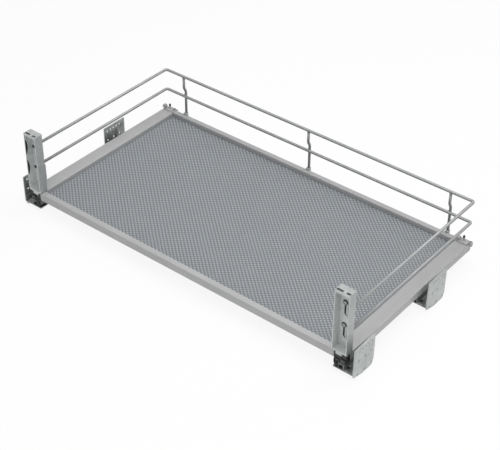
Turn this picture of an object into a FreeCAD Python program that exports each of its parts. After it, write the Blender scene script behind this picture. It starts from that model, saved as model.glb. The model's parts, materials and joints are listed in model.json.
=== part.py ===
import FreeCAD, Part
import Sketcher
import math
import os
import re

# A pull-out pot basket for a base cabinet, in millimetres.
# X runs across the cabinet, Y from the front to the back, Z up.
# The origin is the middle of the basket, level with the lower edges of the side plates.

V = FreeCAD.Vector
doc = FreeCAD.newDocument("pot_basket")

# Driving sizes: one plain number each
SIZES = [
    ("overall_width", 864, "outside of the four side plates"),
    ("overall_depth", 444, "front of the posts to the back of the rail struts"),
    ("plate_thickness", 2, "side plate sheet"),
    ("plate_height", 72.5, "side plate"),
    ("plate_length", 65, "side plate, front to back"),
    ("plate_drop", 10, "lower edge of a side plate to the underside of its arm"),
    ("nose_height", 7, "lower edge of a side plate to its front lower corner"),
    ("plate_nose", 28, "length of the sloping cut at the front lower corner"),
    ("plate_heel", 6, "cut at the rear lower corner, front to back"),
    ("heel_height", 12, "cut at the rear lower corner"),
    ("plate_round", 2, "rounded corners of the plate"),
    ("rear_plate_setback", 198, "back of the struts to the front of a rear plate"),
    ("hole_radius", 2.2, "screw hole in a side plate"),
    ("hole_pitch", 9.7, "upper row of five holes"),
    ("wide_pitch", 19.4, "middle row of three holes"),
    ("low_pitch", 22.5, "lower row of three holes"),
    ("hole_start", 15.8, "front edge of a plate to its first upper hole"),
    ("upper_row", 62.5, "height of the upper row"),
    ("middle_row", 38.5, "height of the middle row"),
    ("lower_row", 7.2, "height of the lower row"),
    ("arm_thickness", 2, "horizontal arm of a side plate"),
    ("arm_inset", 1, "plate front edge to the arm"),
    ("arm_length", 61, "arm, front to back"),
    ("flange_height", 14, "flange of the arm, welded to the plate"),
    ("arm_hole_radius", 2.5, "round hole through the arm"),
    ("arm_hole_margin", 1, "outer arm hole to the upright box"),
    ("arm_hole_front", 13, "plate front to the outer arm hole"),
    ("plug_head_radius", 3.3, "head of the plug in the outer arm hole"),
    ("plug_head_height", 0.8, "head of the plug in the outer arm hole"),
    ("plug_play", 0.05, "plug in its hole"),
    ("seat_hole_front", 18, "plate front to the hole in the upright box"),
    ("seat_hole_rise", 7.7, "top of the arm to the hole in the upright box"),
    ("overcut", 1, "how far a cutting shape runs past the face it opens"),
    ("seat_width", 11.5, "upright box of the arm, beside the slide"),
    ("seat_height", 13, "upright box above the arm"),
    ("slide_height", 19, "arm to the underside of the side beam"),
    ("slide_width", 12.5, "whole slide, side to side"),
    ("slide_inset", 15.5, "outer face of a post to the outer face of the slide"),
    ("slide_start", 2, "front of the posts to the front of the slide"),
    ("slide_tail", 12, "back of the struts to the back of the slide"),
    ("member_sheet", 1.2, "steel strip of the slide members"),
    ("outer_ball", 2.6, "diameter, between cabinet and middle members"),
    ("inner_ball", 2, "diameter, between middle and drawer members"),
    ("ball_play", 0.1, "play on each side of a ball"),
    ("outer_reach", 8.5, "flange of the cabinet member"),
    ("middle_reach", 9.1, "outer face of the slide to the edge of the middle member"),
    ("lip_height", 1.8, "inturned lip of the cabinet member"),
    ("middle_lip", 1.2, "inturned lip of the middle member"),
    ("web_gap", 0.8, "between the webs of neighbouring members"),
    ("cage_sheet", 0.5, "strip that holds the balls"),
    ("cage_length", 220, "strip, front to back"),
    ("cage_width", 3, "strip, side to side"),
    ("ball_pitch", 36, "between balls"),
    ("member_gap", 0.5, "end clearance before and behind the members"),
    ("end_cap", 3, "plastic cap at the back of the slide"),
    ("rivet_radius", 1, "shank of a slide rivet"),
    ("rivet_head", 1.3, "inside head of a slide rivet"),
    ("rivet_head_depth", 0.8, "head of a rivet"),
    ("rivet_play", 0.05, "shank in its hole"),
    ("rivet_edge", 15, "end of an arm to its first rivet"),
    ("rivet_line", 2.6, "outer face of the slide to its rivets"),
    ("beam_rivet_radius", 1.6, "shank of a beam rivet"),
    ("beam_rivet_head", 3, "head radius of a beam rivet"),
    ("beam_rivet_start", 60, "slide front to its first beam rivet"),
    ("beam_rivet_line", 6, "outer face of the slide to the beam rivets"),
    ("beam_height", 18, "the four beams of the frame"),
    ("beam_wall", 1.5, "wall of the beams"),
    ("beam_round", 1.5, "rounded long edges of the beams"),
    ("side_beam_width", 31, "flat top of a side beam"),
    ("side_beam_setback", 22, "front of the posts to a side beam"),
    ("front_beam_width", 13.5, "flat top of the front beam"),
    ("front_beam_setback", 3, "front of the posts to the front beam"),
    ("front_beam_gap", 29, "outer face of a post to the end of the front beam"),
    ("rear_beam_width", 12.5, "flat top of the rear beam"),
    ("rear_beam_setback", 1.5, "seam of the rear caps to the rear beam"),
    ("ledge_width", 8, "ledge that carries the base panel"),
    ("ledge_thickness", 1.5, "ledge that carries the base panel"),
    ("panel_thickness", 4.5, "base panel"),
    ("mat_thickness", 3, "anti-slip mat"),
    ("mat_gap", 0.3, "around the base panel and the mat"),
    ("cap_depth", 18.5, "rear corner cap, front to back"),
    ("cap_inset", 2, "back of the struts to the back of the caps"),
    ("cap_round", 8, "rounded rear corner of a cap"),
    ("lug_width", 7, "raised lug on a cap, side to side"),
    ("lug_length", 9, "raised lug on a cap, front to back"),
    ("lug_height", 6, "raised lug on a cap"),
    ("lug_setback", 5, "seam of a cap to its lug"),
    ("lug_reach", 5, "lug of the left cap past the outer face of the posts"),
    ("boss_radius", 4.3, "round screw boss of a cap"),
    ("boss_height", 3, "screw boss above the cap"),
    ("boss_drop", 6, "foot of the screw boss below the top of the beams"),
    ("boss_inset", 4.5, "inner edge of the left cap to its screw boss"),
    ("boss_setback", 11.5, "seam of a cap to its screw boss"),
    ("cap_screw_radius", 3, "head of a cap screw"),
    ("cap_screw_height", 1.5, "head of a cap screw"),
    ("pin_radius", 2.5, "rear catch pin"),
    ("pin_height", 11, "rear catch pin above the cap"),
    ("pin_inset", 14, "outer face of the posts to the catch pin"),
    ("pin_setback", 5, "back of the caps to the catch pin"),
    ("pin_shift", 3.4, "both catch pins towards the left"),
    ("post_gap", 19, "outside of a side plate to the outer face of a post"),
    ("post_width", 33, "post, side to side"),
    ("post_depth", 21, "post, front to back"),
    ("post_height", 140, "post"),
    ("post_sheet", 1.5, "sheet of a post"),
    ("post_round", 1.2, "folded edges of a post"),
    ("post_lift", 3.4, "top of the beams to the foot of a post"),
    ("post_lip", 5.4, "lip across the front at the top"),
    ("cover_slot_left", 2, "edge of a post to its left cover slot"),
    ("cover_slot_long", 14, "left cover slot"),
    ("cover_slot_right", 23, "edge of a post to its right cover slot"),
    ("cover_slot_short", 8.5, "right cover slot"),
    ("cover_slot_width", 5, "cover slot, front to back"),
    ("cover_tab_drop", 4, "plastic tab in a cover slot, downwards"),
    ("slot_line", 21, "outer face of a post to its slots"),
    ("slot_width", 4, "slot in the back of a post"),
    ("slot_length", 28, "straight part of a slot"),
    ("slot_foot", 4, "sloping foot of a slot"),
    ("upper_slot_rise", 105, "foot of a post to the top of its upper slot"),
    ("slot_spacing", 53, "upper slot to lower slot"),
    ("small_hole_radius", 1.3, "small hole in the back of a post"),
    ("small_hole_drop", 27, "rail to the small hole below it"),
    ("washer_radius", 5.5, "washer of a slot screw"),
    ("washer_thickness", 1, "washer of a slot screw"),
    ("slot_screw_head", 4, "head radius of a slot screw"),
    ("slot_screw_height", 2.6, "head of a slot screw"),
    ("slot_screw_shank", 1.45, "shank radius of a slot screw"),
    ("slider_margin", 3, "edge of a slot to the edge of the slider behind it"),
    ("slider_thickness", 3, "slider behind a slot"),
    ("buffer_length", 37, "curved buffer in a post"),
    ("buffer_bulge", 5, "width of a curved buffer"),
    ("buffer_thickness", 1.2, "curved buffer in a post"),
    ("buffer_front", 0.6, "front edge of a post to its buffers"),
    ("rail_diameter", 6.4, "round rail"),
    ("rail_inset", 5, "outer face of a post to the middle of a rail"),
    ("rail_bend", 5.5, "bend of a rail along its middle line"),
    ("top_rail_rise", 102, "top of the beams to the top rail"),
    ("lower_rail_rise", 51, "top of the beams to the lower rail"),
    ("rail_bore", 12, "threaded bore in the end of a rail"),
    ("rail_screw_radius", 2, "shank of a rail screw"),
    ("rail_screw_head", 3, "head radius of a rail screw"),
    ("rail_screw_depth", 2.5, "head of a rail screw"),
    ("rail_screw_spare", 1, "end of a rail screw to the end of its bore"),
    ("screw_play", 0.05, "shank in its bore"),
    ("strut_diameter", 6, "upright wire at the back"),
    ("strut_inset", 58, "outer face of a post to the strut nearest it"),
    ("jog_start", 25, "top rail to the start of the jog"),
    ("jog_drop", 20, "height of the jog"),
    ("foot_width", 7.5, "clip at the foot of a strut"),
    ("foot_height", 4, "clip above the beam"),
    ("foot_hook", 9, "hook of the clip behind the beam"),
    ("foot_cover", 3, "clip on top of the beam"),
    ("corner_inset", 1, "front of a post to its corner bracket"),
    ("tab_offset", 10, "outer face of a post to the tab below it"),
    ("tab_width", 14, "tab below a post"),
    ("tab_height", 5.5, "tab below a post"),
    ("tab_thickness", 2, "tab below a post"),
    ("tongue_length", 20, "tongue of a corner bracket in the front beam"),
    ("tongue_gap", 0.3, "tongue to the walls of the front beam"),
    ("clip_outset", 1, "outer face of a post to the locking clip"),
    ("clip_top_gap", 3, "locking clip to the top of the beams"),
    ("clip_gap", 0.3, "clip to what it passes and to the slide"),
    ("clip_setback", 3.5, "front of the posts to the locking clip"),
    ("pocket_depth", 4, "pocket of the release lever"),
    ("pocket_height", 6.5, "pocket of the release lever"),
    ("pocket_base", 6, "underside of the clip to the pocket"),
    ("lever_width", 10.5, "release lever"),
    ("lever_play", 0.5, "release lever in its pocket"),
    ("lever_barrel", 1.5, "radius of the lever barrel"),
    ("lever_pin", 1, "radius of the lever pivot"),
    ("lever_pin_reach", 1, "lever pivot in each wall"),
    ("pivot_play", 0.08, "lever pivot in its hole"),
    ("paddle_thickness", 1.6, "release lever paddle"),
    ("paddle_height", 9, "release lever paddle"),
    ("paddle_gap", 0.4, "paddle to the clip behind it"),
    ("neck_height", 2, "neck between the barrel and the paddle"),
    ("plug_radius", 3.6, "round plug at the front of the slide"),
    ("plug_bore", 1.6, "hole in the plug"),
    ("plug_depth", 1.4, "round plug, front to back"),
    ("plug_floor", 0.4, "bottom of the hole in the plug"),
    ("plug_shift", 1, "middle of the tongue to the plug"),
]

# Sizes that follow from the driving ones
DERIVED = [
    ("front", "-overall_depth / 2"),
    ("back", "overall_depth / 2"),
    ("half_width", "overall_width / 2"),
    ("plate_inner", "half_width - plate_thickness"),
    ("post_outer", "half_width - post_gap"),
    ("post_inner", "post_outer - post_width"),
    ("slide_base", "plate_drop + arm_thickness"),
    ("beam_base", "slide_base + slide_height"),
    ("beam_top", "beam_base + beam_height"),
    ("post_base", "beam_top + post_lift"),
    ("post_top", "post_base + post_height"),
    ("post_back", "front + post_depth"),
    ("web_front", "post_back - post_sheet"),
    ("side_beam_inner", "post_outer - side_beam_width"),
    ("side_beam_front", "front + side_beam_setback"),
    ("front_beam_front", "front + front_beam_setback"),
    ("front_beam_back", "front_beam_front + front_beam_width"),
    ("front_beam_end", "post_outer - front_beam_gap"),
    ("cap_back", "back - cap_inset"),
    ("cap_front", "cap_back - cap_depth"),
    ("rear_beam_front", "cap_front + rear_beam_setback"),
    ("rear_beam_back", "rear_beam_front + rear_beam_width"),
    ("panel_base", "beam_base + ledge_thickness"),
    ("mat_base", "panel_base + panel_thickness"),
    ("mat_top", "mat_base + mat_thickness"),
    ("slide_outer", "post_outer - slide_inset"),
    ("slide_inner", "slide_outer - slide_width"),
    ("slide_front", "front + slide_start"),
    ("slide_length", "overall_depth - slide_start - slide_tail"),
    ("slide_end", "slide_front + slide_length"),
    ("cage_start", "(slide_length - cage_length) / 2"),
    ("beam_rivet_pitch", "(slide_length - 2 * beam_rivet_start) / 2"),
    ("rear_plate_start", "overall_depth - rear_plate_setback"),
    ("inner_front", "slide_front + member_gap"),
    ("outer_gap", "outer_ball + 2 * ball_play"),
    ("inner_gap", "inner_ball + 2 * ball_play"),
    ("middle_low", "member_sheet + outer_gap"),
    ("tongue_low", "middle_low + member_sheet + inner_gap"),
    ("tongue_high", "tongue_low + member_sheet"),
    ("middle_high", "tongue_high + inner_gap + member_sheet"),
    ("cabinet_high", "middle_high + outer_gap + member_sheet"),
    ("middle_web", "member_sheet + web_gap"),
    ("tongue_edge", "middle_web + member_sheet + web_gap"),
    ("outer_ball_line", "outer_reach - member_sheet - mat_gap - cage_width / 2"),
    ("inner_ball_line", "middle_reach - member_sheet - mat_gap - cage_width / 2"),
    ("seat_outer", "slide_outer + seat_width"),
    ("seat_top", "slide_base + seat_height"),
    ("rail_side", "post_outer - rail_inset"),
    ("rail_rear", "back - strut_diameter - rail_diameter / 2"),
    ("strut_rear", "back - strut_diameter / 2"),
    ("strut_spread", "post_outer - strut_inset"),
    ("jog_offset", "strut_rear - rail_rear"),
    ("jog_top", "top_rail_level - jog_start"),
    ("jog_radius", "(jog_drop ^ 2 + jog_offset ^ 2) / (4 * jog_offset)"),
    ("top_rail_level", "beam_top + top_rail_rise"),
    ("lower_rail_level", "beam_top + lower_rail_rise"),
    ("upper_slot_top", "post_base + upper_slot_rise"),
    ("lower_slot_top", "upper_slot_top - slot_spacing"),
    ("slot_centre", "post_outer - slot_line"),
    ("clip_base", "seat_top + clip_gap"),
    ("clip_top", "beam_top - clip_top_gap"),
    ("clip_inner", "slide_outer + clip_gap"),
    ("clip_outer", "post_outer - clip_outset"),
    ("clip_front", "front + clip_setback"),
    ("clip_middle", "(clip_inner + clip_outer) / 2"),
    ("pocket_low", "clip_base + pocket_base"),
    ("pivot_level", "pocket_low + pocket_height / 2"),
    ("pivot_line", "clip_front + pocket_depth / 2"),
    ("corner_back", "side_beam_front"),
]

sheet = doc.addObject("Spreadsheet::Sheet", "Sizes")
for row, (alias, number, note) in enumerate(SIZES, start=1):
    sheet.set(f"A{row}", note)
    sheet.set(f"B{row}", str(number))
    sheet.setAlias(f"B{row}", alias)
for row, (alias, rule) in enumerate(DERIVED, start=len(SIZES) + 1):
    sheet.set(f"A{row}", rule)
    sheet.set(f"B{row}", "=" + rule)
    sheet.setAlias(f"B{row}", alias)
doc.recompute()

ALIASES = {entry[0] for entry in SIZES} | {entry[0] for entry in DERIVED}
RIGHT = 1
LEFT = -1
SIDES = [("left", LEFT), ("right", RIGHT)]
nodes = []


# Helpers: expressions, primitives and sketches

def formula(text):
    """Point each size name in an expression at its cell."""
    def cell(match):
        word = match.group(0)
        return "Sizes." + word if word in ALIASES else word
    return re.sub(r"[a-z][a-z_]*", cell, text)


def bind(item, prop, text):
    item.setExpression(prop, formula(str(text)))


def value(text):
    """The number that an expression gives at the present sizes."""
    return float(sheet.evalExpression(formula(str(text))))


def node(item, label):
    """Name a finished sub-part."""
    item.Label = label
    nodes.append(item)
    return item


def across(side, near, far):
    """A stretch of X between two distances from the middle, on one side."""
    if side == RIGHT:
        return (near, far)
    return (f"-({far})", f"-({near})")


def mirrored(side, text):
    return text if side == RIGHT else f"-({text})"


def box(name, x, y, z):
    item = doc.addObject("Part::Box", name)
    for prop, axis, (low, high) in (("Length", "x", x), ("Width", "y", y), ("Height", "z", z)):
        bind(item, prop, f"({high}) - ({low})")
        bind(item, "Placement.Base." + axis, low)
    return item


def rod(name, radius, axis, start, length, a, b):
    """A cylinder along one axis; a and b are its other two places in X, Y, Z order."""
    item = doc.addObject("Part::Cylinder", name)
    bind(item, "Radius", radius)
    bind(item, "Height", length)
    places = {"x": (start, a, b), "y": (a, start, b), "z": (a, b, start)}[axis]
    turns = {"x": (V(0, 1, 0), 90), "y": (V(1, 0, 0), -90), "z": (V(0, 0, 1), 0)}
    item.Placement.Rotation = FreeCAD.Rotation(*turns[axis])
    for letter, place in zip("xyz", places):
        bind(item, "Placement.Base." + letter, place)
    return item


def fuse(name, parts):
    item = doc.addObject("Part::MultiFuse", name)
    item.Shapes = parts
    item.Refine = True
    return item


def cut(name, base, tool):
    item = doc.addObject("Part::Cut", name)
    item.Base = base
    item.Tool = tool
    return item


def group(name, parts):
    """Several like pieces in one node, each still its own solid."""
    item = doc.addObject("Part::Compound", name)
    item.Links = parts
    return item


def new_body(name):
    return doc.addObject("PartDesign::Body", name)


def new_sketch(body, name, role, offset="0"):
    """A sketch on one of the body's own planes, moved along that plane's normal."""
    sketch = body.newObject("Sketcher::SketchObject", name)
    plane = [item for item in body.Origin.OriginFeatures if item.Role == role][0]
    sketch.AttachmentSupport = [(plane, "")]
    sketch.MapMode = "FlatFace"
    bind(sketch, "AttachmentOffset.Base.z", offset)
    return sketch


def pin_point(sketch, item, end, x, y):
    """Hold one point of a sketch at two expressions."""
    for kind, text in (("DistanceX", x), ("DistanceY", y)):
        number = sketch.addConstraint(Sketcher.Constraint(kind, -1, 1, item, end, value(text)))
        bind(sketch, f"Constraints[{number}]", text)


def outline(sketch, points):
    """A closed outline of straight edges whose corners are expressions."""
    count = len(points)
    corners = [V(value(x), value(y), 0) for x, y in points]
    first = sketch.GeometryCount
    for i in range(count):
        sketch.addGeometry(Part.LineSegment(corners[i], corners[(i + 1) % count]), False)
    for i in range(count):
        sketch.addConstraint(Sketcher.Constraint("Coincident", first + i, 2, first + (i + 1) % count, 1))
    for i, (x, y) in enumerate(points):
        pin_point(sketch, first + i, 1, x, y)


def rectangle(sketch, x, y):
    outline(sketch, [(x[0], y[0]), (x[1], y[0]), (x[1], y[1]), (x[0], y[1])])


def ring(sketch, x, y, radius):
    item = sketch.addGeometry(Part.Circle(V(value(x), value(y), 0), V(0, 0, 1), value(radius)), False)
    pin_point(sketch, item, 3, x, y)
    number = sketch.addConstraint(Sketcher.Constraint("Radius", item, value(radius)))
    bind(sketch, f"Constraints[{number}]", radius)


def pad(body, sketch, length, back=False, middle=False):
    item = body.newObject("PartDesign::Pad", sketch.Name + "_pad")
    item.Profile = sketch
    item.Reversed = back
    item.Midplane = middle
    bind(item, "Length", length)
    body.Tip = item
    return item


def soften(body, feature, radius, wanted):
    """Round the edges of a feature whose bounding boxes pass a test."""
    doc.recompute()
    names = [f"Edge{i}" for i, edge in enumerate(feature.Shape.Edges, start=1) if wanted(edge.BoundBox)]
    if not names:
        raise RuntimeError(feature.Name + " has no edges to round")
    item = body.newObject("PartDesign::Fillet", feature.Name + "_round")
    item.Base = (feature, names)
    bind(item, "Radius", radius)
    body.Tip = item
    return item


def same(one, other):
    """Whether two lengths agree within a micrometre."""
    return abs(one - other) < 0.001


def pocket(body, sketch, length, back=False):
    """Cut a sketch out of the body and make sure that something was cut."""
    doc.recompute()
    before = body.Shape.Volume
    item = body.newObject("PartDesign::Pocket", sketch.Name + "_pocket")
    item.Profile = sketch
    item.Reversed = back
    bind(item, "Length", length)
    body.Tip = item
    doc.recompute()
    if body.Shape.Volume >= before:
        raise RuntimeError(sketch.Name + " cuts nothing")
    return item


# Side plates: a vertical plate with three rows of holes, an arm and a box beside the slide

def side_plate(name, side, start):
    """One plate; the left plates are the same part turned round."""
    body = new_body(name)

    def along(distance):
        if side == RIGHT:
            return f"front + {start} + {distance}"
        return f"front + {start} + plate_length - ({distance})"

    skin = "plate_inner" if side == RIGHT else "-half_width"
    plate = new_sketch(body, name + "_plate", "YZ_Plane", skin)
    outline(plate, [
        (along("0"), "nose_height"),
        (along("plate_nose"), "0"),
        (along("plate_length - plate_heel"), "0"),
        (along("plate_length"), "heel_height"),
        (along("plate_length"), "plate_height"),
        (along("0"), "plate_height"),
    ])
    blank = pad(body, plate, "plate_thickness")
    soften(body, blank, "plate_round", lambda edge: same(edge.YLength, 0) and same(edge.ZLength, 0))
    holes = new_sketch(body, name + "_holes", "YZ_Plane", skin)
    centre = along("hole_start + 2 * hole_pitch")
    for i in range(-2, 3):
        ring(holes, f"{centre} + {i} * hole_pitch", "upper_row", "hole_radius")
    for i in range(-1, 2):
        ring(holes, f"{centre} + {i} * wide_pitch", "middle_row", "hole_radius")
        ring(holes, f"{centre} + {i} * low_pitch", "lower_row", "hole_radius")
    pocket(body, holes, "plate_thickness", back=True)
    return node(body, name)


def side_arm(name, side, start):
    body = new_body(name)
    near = f"front + {start}"
    arm = new_sketch(body, name + "_profile", "XZ_Plane", f"-({near} + arm_inset)")
    flange = "plate_inner - arm_thickness"
    corners = [
        ("plate_inner", "plate_drop"), ("slide_inner", "plate_drop"), ("slide_inner", "slide_base"),
        ("seat_outer - arm_thickness", "slide_base"),
        ("seat_outer - arm_thickness", "seat_top - arm_thickness"),
        ("slide_outer", "seat_top - arm_thickness"), ("slide_outer", "seat_top"),
        ("seat_outer", "seat_top"), ("seat_outer", "slide_base"),
        (flange, "slide_base"), (flange, "plate_drop + flange_height"), ("plate_inner", "plate_drop + flange_height"),
    ]
    outline(arm, [(mirrored(side, x), z) for x, z in corners])
    pad(body, arm, "arm_length", back=True)
    floor = new_sketch(body, name + "_floor", "XY_Plane")
    ring(floor, mirrored(side, "seat_outer + arm_hole_radius + arm_hole_margin"),
         f"{near} + arm_hole_front", "arm_hole_radius")
    for y in rivet_places(start):
        ring(floor, mirrored(side, "slide_outer - rivet_line"), y, "rivet_radius + rivet_play")
    pocket(body, floor, "slide_base + overcut", back=True)
    wall = "seat_outer - arm_thickness" if side == RIGHT else "-seat_outer"
    window = new_sketch(body, name + "_window", "YZ_Plane", wall)
    ring(window, f"{near} + seat_hole_front", "slide_base + seat_hole_rise", "hole_radius")
    pocket(body, window, "arm_thickness", back=True)
    return node(body, name)


def arm_plug(key, side, start):
    place = (mirrored(side, "seat_outer + arm_hole_radius + arm_hole_margin"), f"front + {start} + arm_hole_front")
    stem = rod(f"arm_plug_stem_{key}", "arm_hole_radius - plug_play", "z", "plate_drop", "arm_thickness", *place)
    head = rod(f"arm_plug_head_{key}", "plug_head_radius", "z", "slide_base", "plug_head_height", *place)
    return fuse(f"arm_plug_{key}", [stem, head])


def rivet_places(start):
    first = f"front + {start} + arm_inset + rivet_edge"
    return [first, f"{first} + arm_length - 2 * rivet_edge"]


PLATE_STARTS = [("front", "0"), ("rear", "rear_plate_start")]
arm_plugs = []
for place, start in PLATE_STARTS:
    for word, side in SIDES:
        side_plate(f"{place}_{word}_plate", side, start)
        side_arm(f"{place}_{word}_arm", side, start)
        arm_plugs.append(arm_plug(f"{place}_{word}", side, start))
node(group("arm_plugs_set", arm_plugs), "arm_plugs")


# Slides: three steel members a side, with balls in cages between them

def member(name, side, corners, start, length):
    body = new_body(name)
    profile = new_sketch(body, name + "_profile", "XZ_Plane", f"-({start})")
    outline(profile, [(mirrored(side, f"slide_outer - ({q})"), f"slide_base + {z}") for q, z in corners])
    pad(body, profile, length, back=True)
    return body


def channel(web, reach, low, high, lip):
    """The corners of a C strip, measured in from the slide's outer face and up from its base."""
    strip = "member_sheet"
    inner = f"{web} + {strip}"
    tip = f"{reach} - {strip}"
    return [
        (web, low), (web, high), (reach, high),
        (reach, f"{high} - {strip} - {lip}"), (tip, f"{high} - {strip} - {lip}"), (tip, f"{high} - {strip}"),
        (inner, f"{high} - {strip}"), (inner, f"{low} + {strip}"),
        (tip, f"{low} + {strip}"), (tip, f"{low} + {strip} + {lip}"), (reach, f"{low} + {strip} + {lip}"),
        (reach, low),
    ]


def cabinet_member(word, side):
    name = f"cabinet_member_{word}"
    corners = channel("0", "outer_reach", "0", "cabinet_high", "lip_height")
    body = member(name, side, corners, "inner_front", "slide_length - member_gap")
    holes = new_sketch(body, name + "_holes", "XY_Plane", "slide_base - overcut")
    for place, start in PLATE_STARTS:
        for y in rivet_places(start):
            ring(holes, mirrored(side, "slide_outer - rivet_line"), y, "rivet_radius + rivet_play")
    pocket(body, holes, "member_sheet + 2 * overcut", back=True)
    return node(body, name)


def middle_member(word, side):
    corners = channel("middle_web", "middle_reach", "middle_low", "middle_high", "middle_lip")
    body = member(f"middle_member_{word}", side, corners, "inner_front", "slide_length - 2 * member_gap")
    return node(body, f"middle_member_{word}")


def beam_rivet_places():
    return [f"slide_front + beam_rivet_start + {i} * beam_rivet_pitch" for i in range(3)]


def drawer_member(word, side):
    name = f"drawer_member_{word}"
    strip = "member_sheet"
    corners = [
        ("0", "slide_height"), ("slide_width", "slide_height"), ("slide_width", "tongue_low"),
        ("tongue_edge", "tongue_low"), ("tongue_edge", "tongue_high"),
        (f"slide_width - {strip}", "tongue_high"), (f"slide_width - {strip}", f"slide_height - {strip}"),
        ("0", f"slide_height - {strip}"),
    ]
    body = member(name, side, corners, "slide_front", "slide_length - member_gap")
    holes = new_sketch(body, name + "_holes", "XY_Plane", "beam_base - member_sheet - overcut")
    for y in beam_rivet_places():
        ring(holes, mirrored(side, "slide_outer - beam_rivet_line"), y, "beam_rivet_radius + rivet_play")
    pocket(body, holes, "member_sheet + 2 * overcut", back=True)
    return node(body, name)


def ball_set(level, line, diameter, word, side, label):
    """A cage strip below and above, with its row of balls in each."""
    balls = []
    strips = []
    count = int((value("cage_length") - value("ball_pitch") / 2) // value("ball_pitch"))
    x = mirrored(side, f"slide_outer - {line}")
    for tier, z in enumerate((f"slide_base + {level}", f"slide_base + cabinet_high - ({level})")):
        row = []
        for i in range(count):
            y = f"slide_front + cage_start + cage_length / 2 + {i - (count - 1) / 2} * ball_pitch"
            ball = doc.addObject("Part::Sphere", f"{label}_ball_{word}_{tier}_{i}")
            bind(ball, "Radius", f"{diameter} / 2")
            for letter, place in zip("xyz", (x, y, z)):
                bind(ball, "Placement.Base." + letter, place)
            balls.append(ball)
            low = f"{z} - cage_sheet / 2 - overcut"
            row.append(rod(f"{label}_hole_{word}_{tier}_{i}", f"{diameter} / 2 + rivet_play", "z",
                           low, "cage_sheet + 2 * overcut", x, y))
        ends = across(side, f"slide_outer - {line} - cage_width / 2", f"slide_outer - {line} + cage_width / 2")
        strip = box(f"{label}_strip_{word}_{tier}", ends,
                    ("slide_front + cage_start", "slide_front + cage_start + cage_length"),
                    (f"{z} - cage_sheet / 2", f"{z} + cage_sheet / 2"))
        strips.append(cut(f"{label}_strip_holed_{word}_{tier}", strip, fuse(f"{label}_holes_{word}_{tier}", row)))
    node(group(f"{label}_cage_{word}", strips), f"{label}_cage_{word}")
    node(group(f"{label}_balls_{word}", balls), f"{label}_balls_{word}")


for word, side in SIDES:
    cabinet_member(word, side)
    middle_member(word, side)
    drawer_member(word, side)
    ball_set("member_sheet + outer_gap / 2", "outer_ball_line", "outer_ball", word, side, "outer")
    ball_set("middle_low + member_sheet + inner_gap / 2", "inner_ball_line", "inner_ball", word, side, "inner")

caps = []
plugs = []
for word, side in SIDES:
    caps.append(box(f"end_cap_{word}", across(side, "slide_inner", "slide_outer"),
                    ("slide_end", "slide_end + end_cap"), ("slide_base", "slide_base + cabinet_high")))
    plug_line = mirrored(side, "slide_outer - (tongue_edge + slide_width) / 2 + plug_shift")
    plug_level = "slide_base + (tongue_low + tongue_high) / 2"
    disc = rod(f"plug_disc_{word}", "plug_radius", "y", "slide_front - plug_depth", "plug_depth",
               plug_line, plug_level)
    hole = rod(f"plug_hole_{word}", "plug_bore", "y", "slide_front - plug_depth - overcut",
               "plug_depth - plug_floor + overcut", plug_line, plug_level)
    plugs.append(cut(f"plug_{word}", disc, hole))
node(group("slide_end_caps_set", caps), "slide_end_caps")
node(group("slide_front_plugs_set", plugs), "slide_front_plugs")


# Rivets: slide to arms, and slide to side beams

def headed_rivet(name, radius, low, high, head_below, head_above, x, y):
    """A shank from low to high with a flat head on each end."""
    depth = "rivet_head_depth"
    shank = rod(name + "_shank", radius, "z", f"{low} - {depth}", f"({high}) - ({low}) + 2 * {depth}", x, y)
    under = rod(name + "_under", head_below, "z", f"{low} - {depth}", depth, x, y)
    over = rod(name + "_over", head_above, "z", high, depth, x, y)
    return fuse(name, [shank, under, over])


slide_rivets = []
beam_rivets = []
for word, side in SIDES:
    x = mirrored(side, "slide_outer - rivet_line")
    for place, start in PLATE_STARTS:
        for i, y in enumerate(rivet_places(start)):
            slide_rivets.append(headed_rivet(f"slide_rivet_{word}_{place}_{i}", "rivet_radius", "plate_drop",
                                             "slide_base + member_sheet", "2 * rivet_radius", "rivet_head", x, y))
    x = mirrored(side, "slide_outer - beam_rivet_line")
    for i, y in enumerate(beam_rivet_places()):
        beam_rivets.append(headed_rivet(f"beam_rivet_{word}_{i}", "beam_rivet_radius", "beam_base - member_sheet",
                                        "beam_base + beam_wall", "beam_rivet_head", "beam_rivet_head", x, y))
node(group("slide_rivets_set", slide_rivets), "slide_rivets")
node(group("beam_rivets_set", beam_rivets), "beam_rivets")


# Frame beams: hollow, with a ledge inside that carries the base panel

def hollow_profile(sketch, sign, inner, outer):
    """The outline of a beam: inner and outer faces, the ledge and the hollow."""
    def at(place, shift="0"):
        return f"{sign} * ({place}) + {sign} * ({shift})"
    outline(sketch, [
        (at(outer), "beam_base"), (at(outer), "beam_top"), (at(inner), "beam_top"),
        (at(inner), "beam_base + ledge_thickness"), (at(inner, "-ledge_width"), "beam_base + ledge_thickness"),
        (at(inner, "-ledge_width"), "beam_base"),
    ])
    outline(sketch, [
        (at(outer, "-beam_wall"), "beam_base + beam_wall"), (at(outer, "-beam_wall"), "beam_top - beam_wall"),
        (at(inner, "beam_wall"), "beam_top - beam_wall"), (at(inner, "beam_wall"), "beam_base + beam_wall"),
    ])


def beam_edges(outer_face, axis):
    """A test for the long edges at the top of a beam and at the bottom of its outer face."""
    top, base, face = value("beam_top"), value("beam_base"), abs(value(outer_face))

    def wanted(edge):
        if not same(edge.ZLength, 0) or not same(edge.XLength * edge.YLength, 0):
            return False
        if not same(edge.YLength if axis == "x" else edge.XLength, 0):
            return False
        across_beam = abs(edge.YMin if axis == "x" else edge.XMin)
        return same(edge.ZMin, top) or (same(edge.ZMin, base) and same(across_beam, face))
    return wanted


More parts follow.
